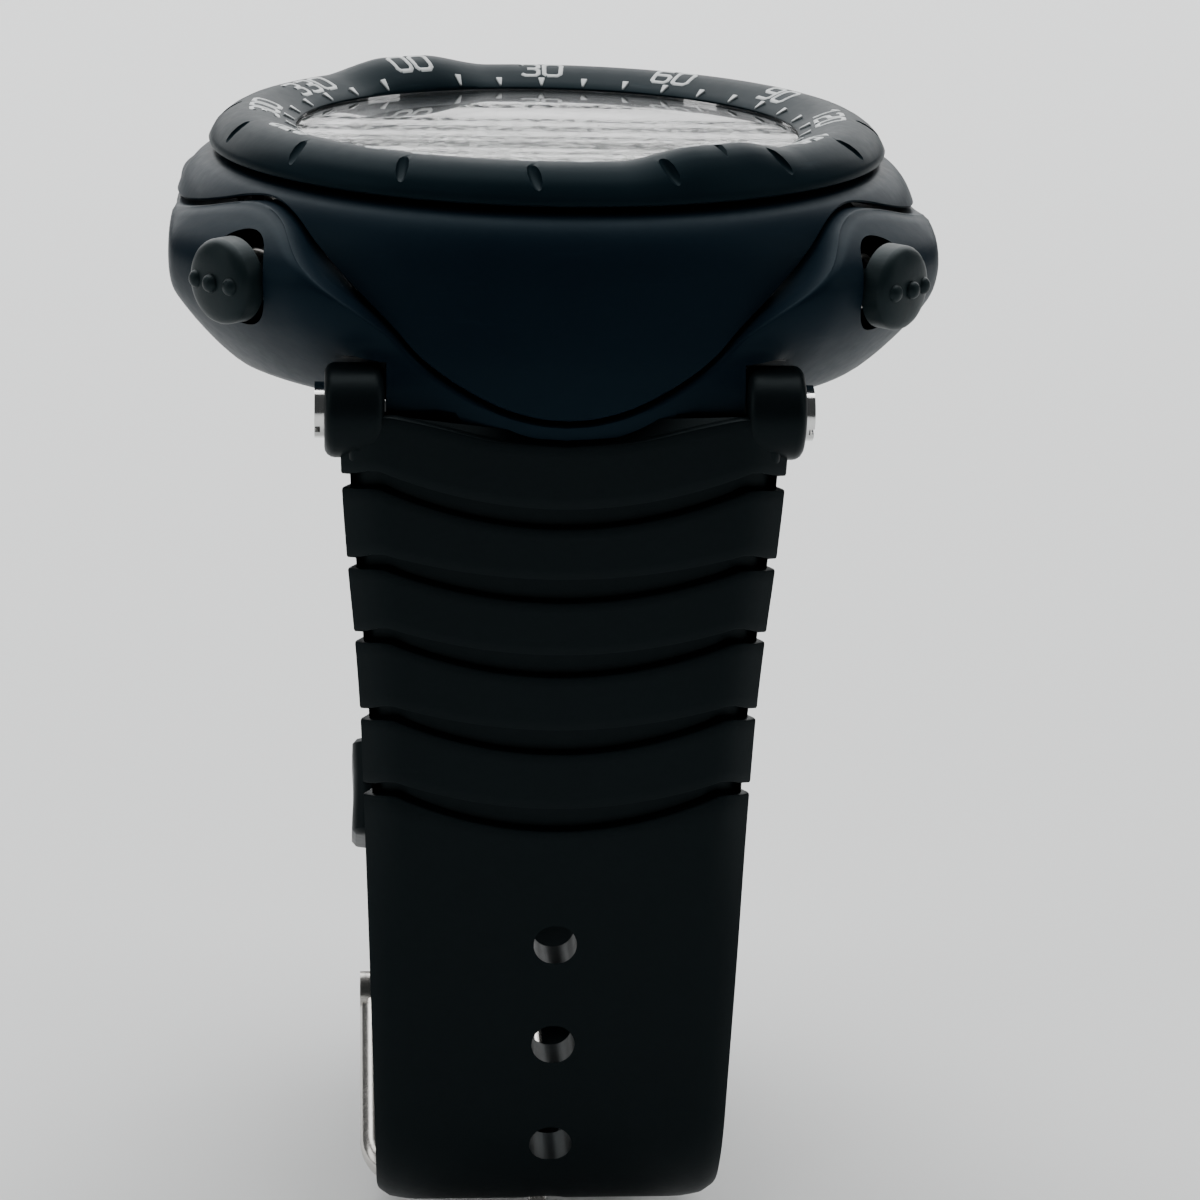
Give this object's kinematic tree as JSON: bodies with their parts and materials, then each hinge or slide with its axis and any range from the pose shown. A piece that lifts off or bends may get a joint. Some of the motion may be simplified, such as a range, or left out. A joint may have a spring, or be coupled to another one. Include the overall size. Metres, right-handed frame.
{
  "type": "wrist computer",
  "caption": "Outdoor wrist computer with a turning compass bezel, diagonal push buttons and a buckled elastomer strap closed in a loop.",
  "frame": {"origin": "centre of the case back's outer face", "axes": "+Z out of the dial, +Y towards 12 o'clock (the buckle strap), -Y towards 6 o'clock (the strap with holes), +X towards 3 o'clock"},
  "size_m": [0.05, 0.0546, 0.0758],
  "materials": {
    "case_plastic": "satin moulded, fine grain",
    "bezel_plastic": "satin moulded, pale printed marks",
    "button_plastic": "satin moulded",
    "crystal_acrylic": "polished, lightly scratched",
    "strap_rubber": "matt elastomer",
    "buckle_steel": "satin wire",
    "screw_steel": "turned and polished",
    "spring_steel": "bright wire",
    "back_plastic": "fine spark texture",
    "seal_rubber": "smooth",
    "display_glass": "reflective display",
    "flange_print": "printed",
    "module_plastic": "moulded",
    "backlight_film": "film",
    "board_laminate": "solder mask",
    "chip_epoxy": "moulded",
    "component_metal": "plated",
    "cell_steel": "nickel plated",
    "contact_brass": "gold plated",
    "connector_rubber": "layered"
  },
  "bodies": {
    "case": {"backlight_panel": "backlight_film", "battery_cell": "cell_steel", "battery_contact_minus": "contact_brass", "battery_contact_plus": "contact_brass", "battery_insulator": "module_plastic", "bezel_click_spring": "spring_steel", "bezel_snap_ring": "spring_steel", "buzzer": "component_metal", "case_back": "back_plastic", "case_back_screws": "screw_steel", "case_back_seal": "seal_rubber", "case_body": "case_plastic", "case_seal": "seal_rubber", "circuit_board": "board_laminate", "compass_sensor": "chip_epoxy", "connector_strip_lower": "connector_rubber", "connector_strip_upper": "connector_rubber", "crystal": "crystal_acrylic", "crystal_seal": "seal_rubber", "dial_flange": "flange_print", "display_panel": "display_glass", "down_button_seal": "seal_rubber", "down_button_spring": "spring_steel", "light_button_seal": "seal_rubber", "light_button_spring": "spring_steel", "memory_chip": "chip_epoxy", "module_frame": "module_plastic", "pressure_port_screen": "spring_steel", "pressure_sensor": "component_metal", "processor_chip": "chip_epoxy", "quartz_crystal": "component_metal", "select_button_seal": "seal_rubber", "select_button_spring": "spring_steel", "side_switches": "component_metal", "strap_long": "strap_rubber", "strap_screws": "screw_steel", "strap_short": "strap_rubber", "strap_tube_lower": "screw_steel", "strap_tube_upper": "screw_steel", "tilt_sensor": "chip_epoxy", "top_shell": "case_plastic", "up_button_seal": "seal_rubber", "up_button_spring": "spring_steel"},
    "bezel": {"bezel": "bezel_plastic"},
    "battery_cover": {"battery_cover": "back_plastic", "battery_cover_seal": "seal_rubber"},
    "buckle_frame": {"buckle_frame": "buckle_steel", "buckle_pin": "buckle_steel"},
    "buckle_prong": {"buckle_prong": "buckle_steel"},
    "keeper": {"keeper": "strap_rubber"},
    "light_button": {"light_button": "button_plastic", "light_button_clip": "spring_steel"},
    "select_button": {"select_button": "button_plastic", "select_button_clip": "spring_steel"},
    "down_button": {"down_button": "button_plastic", "down_button_clip": "spring_steel"},
    "up_button": {"up_button": "button_plastic", "up_button_clip": "spring_steel"}
  },
  "joints": [
    {"name": "bezel_turn", "type": "hinge", "parent": "case", "child": "bezel", "pos_m": [0, 0, 0.0147], "axis": [0, 0, 1], "continuous": true},
    {"name": "battery_cover_turn", "type": "hinge", "parent": "case", "child": "battery_cover", "pos_m": [0, 0, 0], "axis": [0, 0, -1], "range_deg": [0, 40]},
    {"name": "buckle_tilt", "type": "hinge", "parent": "case", "child": "buckle_frame", "pos_m": [0, -0.0002, -0.0482], "axis": [1, 0, 0], "range_deg": [0, 2.5]},
    {"name": "prong_tilt", "type": "hinge", "parent": "buckle_frame", "child": "buckle_prong", "pos_m": [0, -0.0002, -0.0482], "axis": [1, 0, 0], "range_deg": [0, 1.5]},
    {"name": "keeper_slide", "type": "slide", "parent": "case", "child": "keeper", "axis": [0, 0.5, 0.866], "range_m": [-0.0005, 0.003]},
    {"name": "light_press", "type": "slide", "parent": "case", "child": "light_button", "axis": [0.7431, -0.6691, 0], "range_m": [0, 0.0009], "stiffness_N_per_m": 1200, "springref_m": -0.0005, "deforming": ["light_button_spring"]},
    {"name": "select_press", "type": "slide", "parent": "case", "child": "select_button", "axis": [0.7431, 0.6691, 0], "range_m": [0, 0.0009], "stiffness_N_per_m": 1200, "springref_m": -0.0005, "deforming": ["select_button_spring"]},
    {"name": "down_press", "type": "slide", "parent": "case", "child": "down_button", "axis": [-0.7431, 0.6691, 0], "range_m": [0, 0.0009], "stiffness_N_per_m": 1200, "springref_m": -0.0005, "deforming": ["down_button_spring"]},
    {"name": "up_press", "type": "slide", "parent": "case", "child": "up_button", "axis": [-0.7431, -0.6691, 0], "range_m": [0, 0.0009], "stiffness_N_per_m": 1200, "springref_m": -0.0005, "deforming": ["up_button_spring"]}
  ]
}
